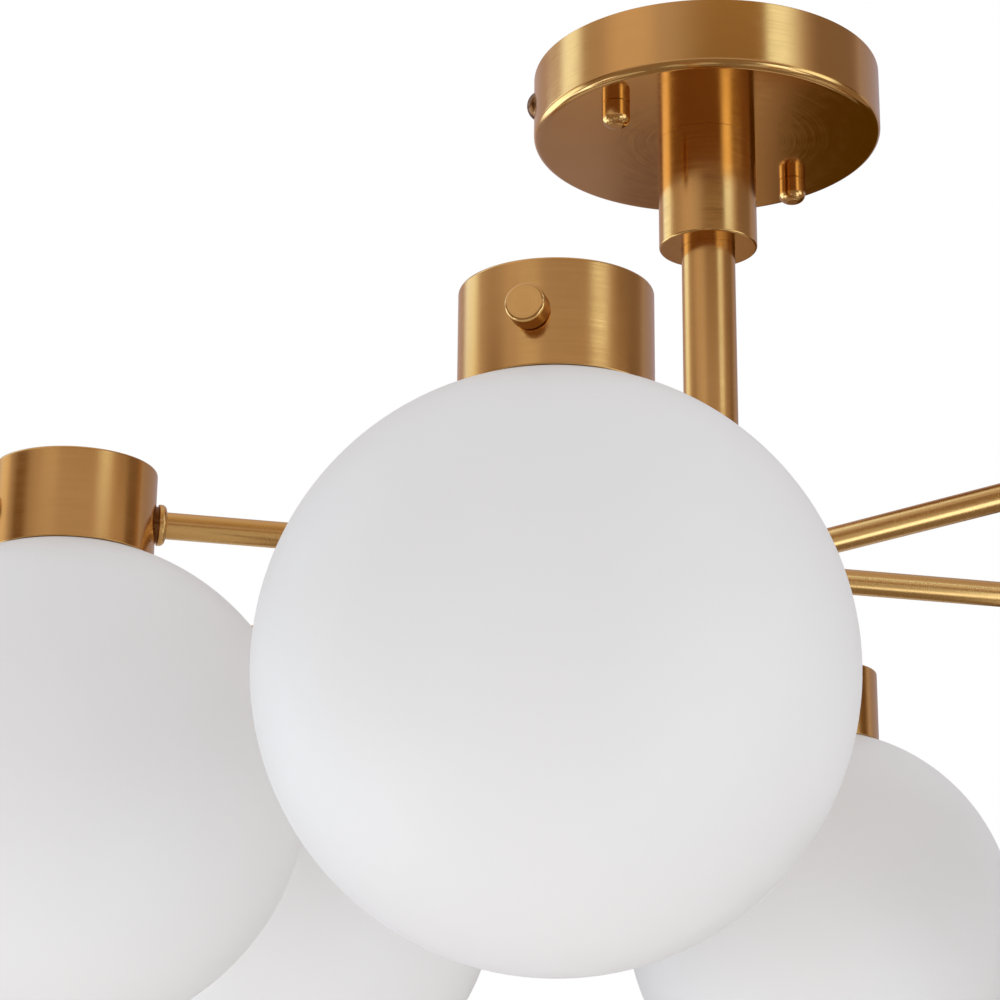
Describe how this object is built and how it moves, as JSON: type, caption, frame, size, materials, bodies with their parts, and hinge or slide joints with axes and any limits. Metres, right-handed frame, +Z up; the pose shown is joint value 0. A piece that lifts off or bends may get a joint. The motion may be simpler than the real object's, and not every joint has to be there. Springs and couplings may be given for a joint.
{
  "type": "semi-flush ceiling light",
  "caption": "Semi-flush ceiling light: brass canopy, stem and hub with level radial arms, each ending in a cup that clamps an opal glass globe over a capsule bulb.",
  "frame": {"origin": "on the ceiling plane, at the middle of the crossbar and of the stem's axis", "axes": "+Z up into the ceiling, +X along the ceiling crossbar and its slots, light hangs towards -Z"},
  "size_m": [0.5208, 0.5708, 0.3386],
  "materials": {
    "satin_brass": "satin, fine circumferential brushing, clear lacquer",
    "opal_glass": "etched white opal glass, satin",
    "zinc_steel": "zinc-plated steel",
    "lamp_ceramic": "white fired ceramic, unglazed",
    "bulb_glass": "frosted white capsule",
    "terminal_plastic": "ivory nylon",
    "ground_green": "green painted screw"
  },
  "bodies": {
    "fixture": {"arm_1": "satin_brass", "arm_2": "satin_brass", "arm_3": "satin_brass", "arm_4": "satin_brass", "arm_5": "satin_brass", "arm_6": "satin_brass", "arm_nuts": "zinc_steel", "arm_rosettes": "satin_brass", "canopy": "satin_brass", "canopy_nipple": "zinc_steel", "canopy_side_screw": "satin_brass", "canopy_studs": "zinc_steel", "canopy_washer": "zinc_steel", "ceiling_crossbar": "zinc_steel", "cup_1": "satin_brass", "cup_2": "satin_brass", "cup_3": "satin_brass", "cup_4": "satin_brass", "cup_5": "satin_brass", "cup_6": "satin_brass", "ground_screw": "ground_green", "holder_screws": "zinc_steel", "hub_body": "satin_brass", "hub_finial": "satin_brass", "hub_lid": "satin_brass", "hub_nipple": "zinc_steel", "lamp_holder_1": "lamp_ceramic", "lamp_holder_2": "lamp_ceramic", "lamp_holder_3": "lamp_ceramic", "lamp_holder_4": "lamp_ceramic", "lamp_holder_5": "lamp_ceramic", "lamp_holder_6": "lamp_ceramic", "lock_nuts": "zinc_steel", "neck_collar": "satin_brass", "nipple_nuts": "zinc_steel", "stem_bush": "satin_brass", "stem_plug": "satin_brass", "stem_tube": "satin_brass", "terminal_block": "terminal_plastic", "thumbscrew_inserts": "satin_brass"},
    "globe_1": {"globe_1": "opal_glass"},
    "globe_2": {"globe_2": "opal_glass"},
    "globe_3": {"globe_3": "opal_glass"},
    "globe_4": {"globe_4": "opal_glass"},
    "globe_5": {"globe_5": "opal_glass"},
    "globe_6": {"globe_6": "opal_glass"},
    "thumbscrew_1": {"thumbscrew_1": "satin_brass"},
    "thumbscrew_2": {"thumbscrew_2": "satin_brass"},
    "thumbscrew_3": {"thumbscrew_3": "satin_brass"},
    "thumbscrew_4": {"thumbscrew_4": "satin_brass"},
    "thumbscrew_5": {"thumbscrew_5": "satin_brass"},
    "thumbscrew_6": {"thumbscrew_6": "satin_brass"},
    "bulb_1": {"bulb_1": "bulb_glass"},
    "bulb_2": {"bulb_2": "bulb_glass"},
    "bulb_3": {"bulb_3": "bulb_glass"},
    "bulb_4": {"bulb_4": "bulb_glass"},
    "bulb_5": {"bulb_5": "bulb_glass"},
    "bulb_6": {"bulb_6": "bulb_glass"},
    "cap_nut_left": {"cap_nut_left": "satin_brass"},
    "cap_nut_right": {"cap_nut_right": "satin_brass"}
  },
  "joints": [
    {"name": "globe_1_drop", "type": "slide", "parent": "fixture", "child": "globe_1", "axis": [0, 0, -1], "range_m": [0, 0.065]},
    {"name": "thumbscrew_1_unscrew", "type": "slide", "parent": "fixture", "child": "thumbscrew_1", "axis": [0.8805, -0.4741, 0], "range_m": [0, 0.004]},
    {"name": "bulb_1_pull", "type": "slide", "parent": "fixture", "child": "bulb_1", "axis": [0, 0, -1], "range_m": [0, 0.012]},
    {"name": "globe_2_drop", "type": "slide", "parent": "fixture", "child": "globe_2", "axis": [0, 0, -1], "range_m": [0, 0.065]},
    {"name": "thumbscrew_2_unscrew", "type": "slide", "parent": "fixture", "child": "thumbscrew_2", "axis": [0.8508, 0.5255, 0], "range_m": [0, 0.004]},
    {"name": "bulb_2_pull", "type": "slide", "parent": "fixture", "child": "bulb_2", "axis": [0, 0, -1], "range_m": [0, 0.012]},
    {"name": "globe_3_drop", "type": "slide", "parent": "fixture", "child": "globe_3", "axis": [0, 0, -1], "range_m": [0, 0.065]},
    {"name": "thumbscrew_3_unscrew", "type": "slide", "parent": "fixture", "child": "thumbscrew_3", "axis": [-0.0297, 0.9996, 0], "range_m": [0, 0.004]},
    {"name": "bulb_3_pull", "type": "slide", "parent": "fixture", "child": "bulb_3", "axis": [0, 0, -1], "range_m": [0, 0.012]},
    {"name": "globe_4_drop", "type": "slide", "parent": "fixture", "child": "globe_4", "axis": [0, 0, -1], "range_m": [0, 0.065]},
    {"name": "thumbscrew_4_unscrew", "type": "slide", "parent": "fixture", "child": "thumbscrew_4", "axis": [-0.8805, 0.4741, 0], "range_m": [0, 0.004]},
    {"name": "bulb_4_pull", "type": "slide", "parent": "fixture", "child": "bulb_4", "axis": [0, 0, -1], "range_m": [0, 0.012]},
    {"name": "globe_5_drop", "type": "slide", "parent": "fixture", "child": "globe_5", "axis": [0, 0, -1], "range_m": [0, 0.065]},
    {"name": "thumbscrew_5_unscrew", "type": "slide", "parent": "fixture", "child": "thumbscrew_5", "axis": [-0.8508, -0.5255, 0], "range_m": [0, 0.004]},
    {"name": "bulb_5_pull", "type": "slide", "parent": "fixture", "child": "bulb_5", "axis": [0, 0, -1], "range_m": [0, 0.012]},
    {"name": "globe_6_drop", "type": "slide", "parent": "fixture", "child": "globe_6", "axis": [0, 0, -1], "range_m": [0, 0.065]},
    {"name": "thumbscrew_6_unscrew", "type": "slide", "parent": "fixture", "child": "thumbscrew_6", "axis": [0.0297, -0.9996, 0], "range_m": [0, 0.004]},
    {"name": "bulb_6_pull", "type": "slide", "parent": "fixture", "child": "bulb_6", "axis": [0, 0, -1], "range_m": [0, 0.012]},
    {"name": "cap_nut_left_unscrew", "type": "slide", "parent": "fixture", "child": "cap_nut_left", "axis": [0, 0, -1], "range_m": [0, 0.008]},
    {"name": "cap_nut_right_unscrew", "type": "slide", "parent": "fixture", "child": "cap_nut_right", "axis": [0, 0, -1], "range_m": [0, 0.008]}
  ]
}
